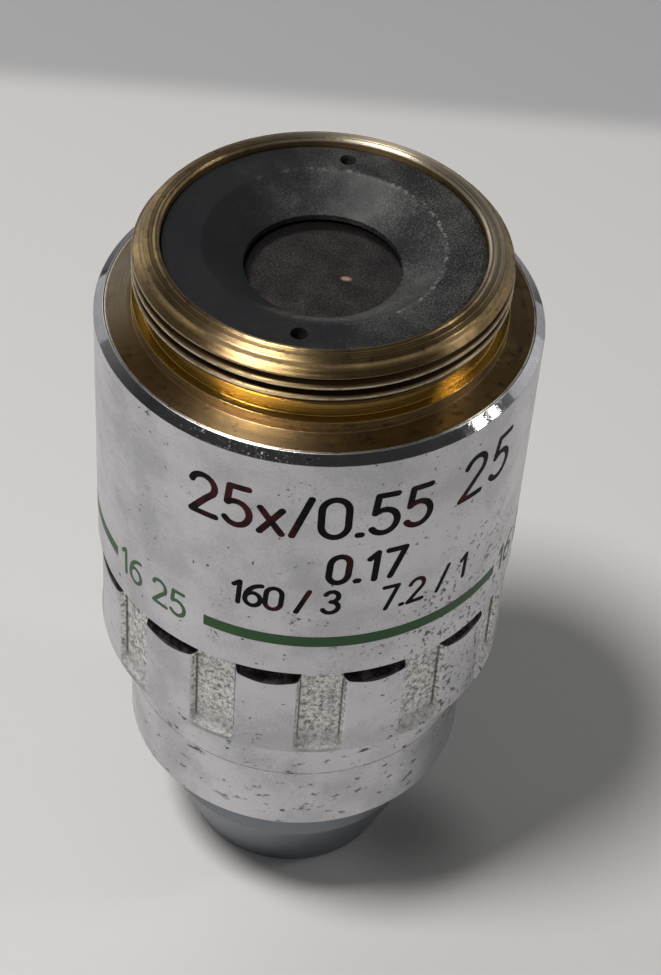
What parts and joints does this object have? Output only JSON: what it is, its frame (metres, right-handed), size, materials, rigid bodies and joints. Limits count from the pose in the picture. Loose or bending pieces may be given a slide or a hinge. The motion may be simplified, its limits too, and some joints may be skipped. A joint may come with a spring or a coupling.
{
  "type": "microscope objective",
  "caption": "Screw-in microscope objective: plated sleeve with a ribbed grip, brass mount thread, black rear ring and a tapered dark nose, with its lens cells inside.",
  "frame": {"origin": "centre of the nose's flat front face, on which the objective stands", "axes": "+Z along the optical axis, from the nose to the mount thread; one spanner hole of the rear ring and one land of the grip lie towards -Y"},
  "size_m": [0.0244, 0.0244, 0.0463],
  "materials": {
    "plated_chrome": "satin plating, pitted and scratched",
    "bare_brass": "turned, browned with age",
    "cell_brass": "turned",
    "black_paint": "matt black, dusty",
    "dark_plating": "dark blue-grey, satin",
    "optical_glass": "polished",
    "screw_steel": "plain"
  },
  "bodies": {
    "root": {"thread_mount": "bare_brass", "outer_sleeve": "plated_chrome", "lower_barrel": "plated_chrome", "nose_cell": "dark_plating", "front_lens": "optical_glass", "rear_lens": "optical_glass", "rear_retaining_ring": "black_paint", "front_lens_ring": "cell_brass", "meniscus_cell": "cell_brass", "meniscus_lens": "optical_glass", "front_doublet_cell": "cell_brass", "front_doublet_crown": "optical_glass", "front_doublet_flint": "optical_glass", "front_spacer": "black_paint", "middle_doublet_cell": "cell_brass", "middle_doublet_crown": "optical_glass", "middle_doublet_flint": "optical_glass", "middle_spacer": "black_paint", "rear_doublet_cell": "cell_brass", "rear_doublet_crown": "optical_glass", "rear_doublet_flint": "optical_glass", "aperture_stop": "black_paint", "rear_spacer": "black_paint", "rear_lens_cell": "black_paint", "centring_screws": "screw_steel"}
  },
  "joints": []
}
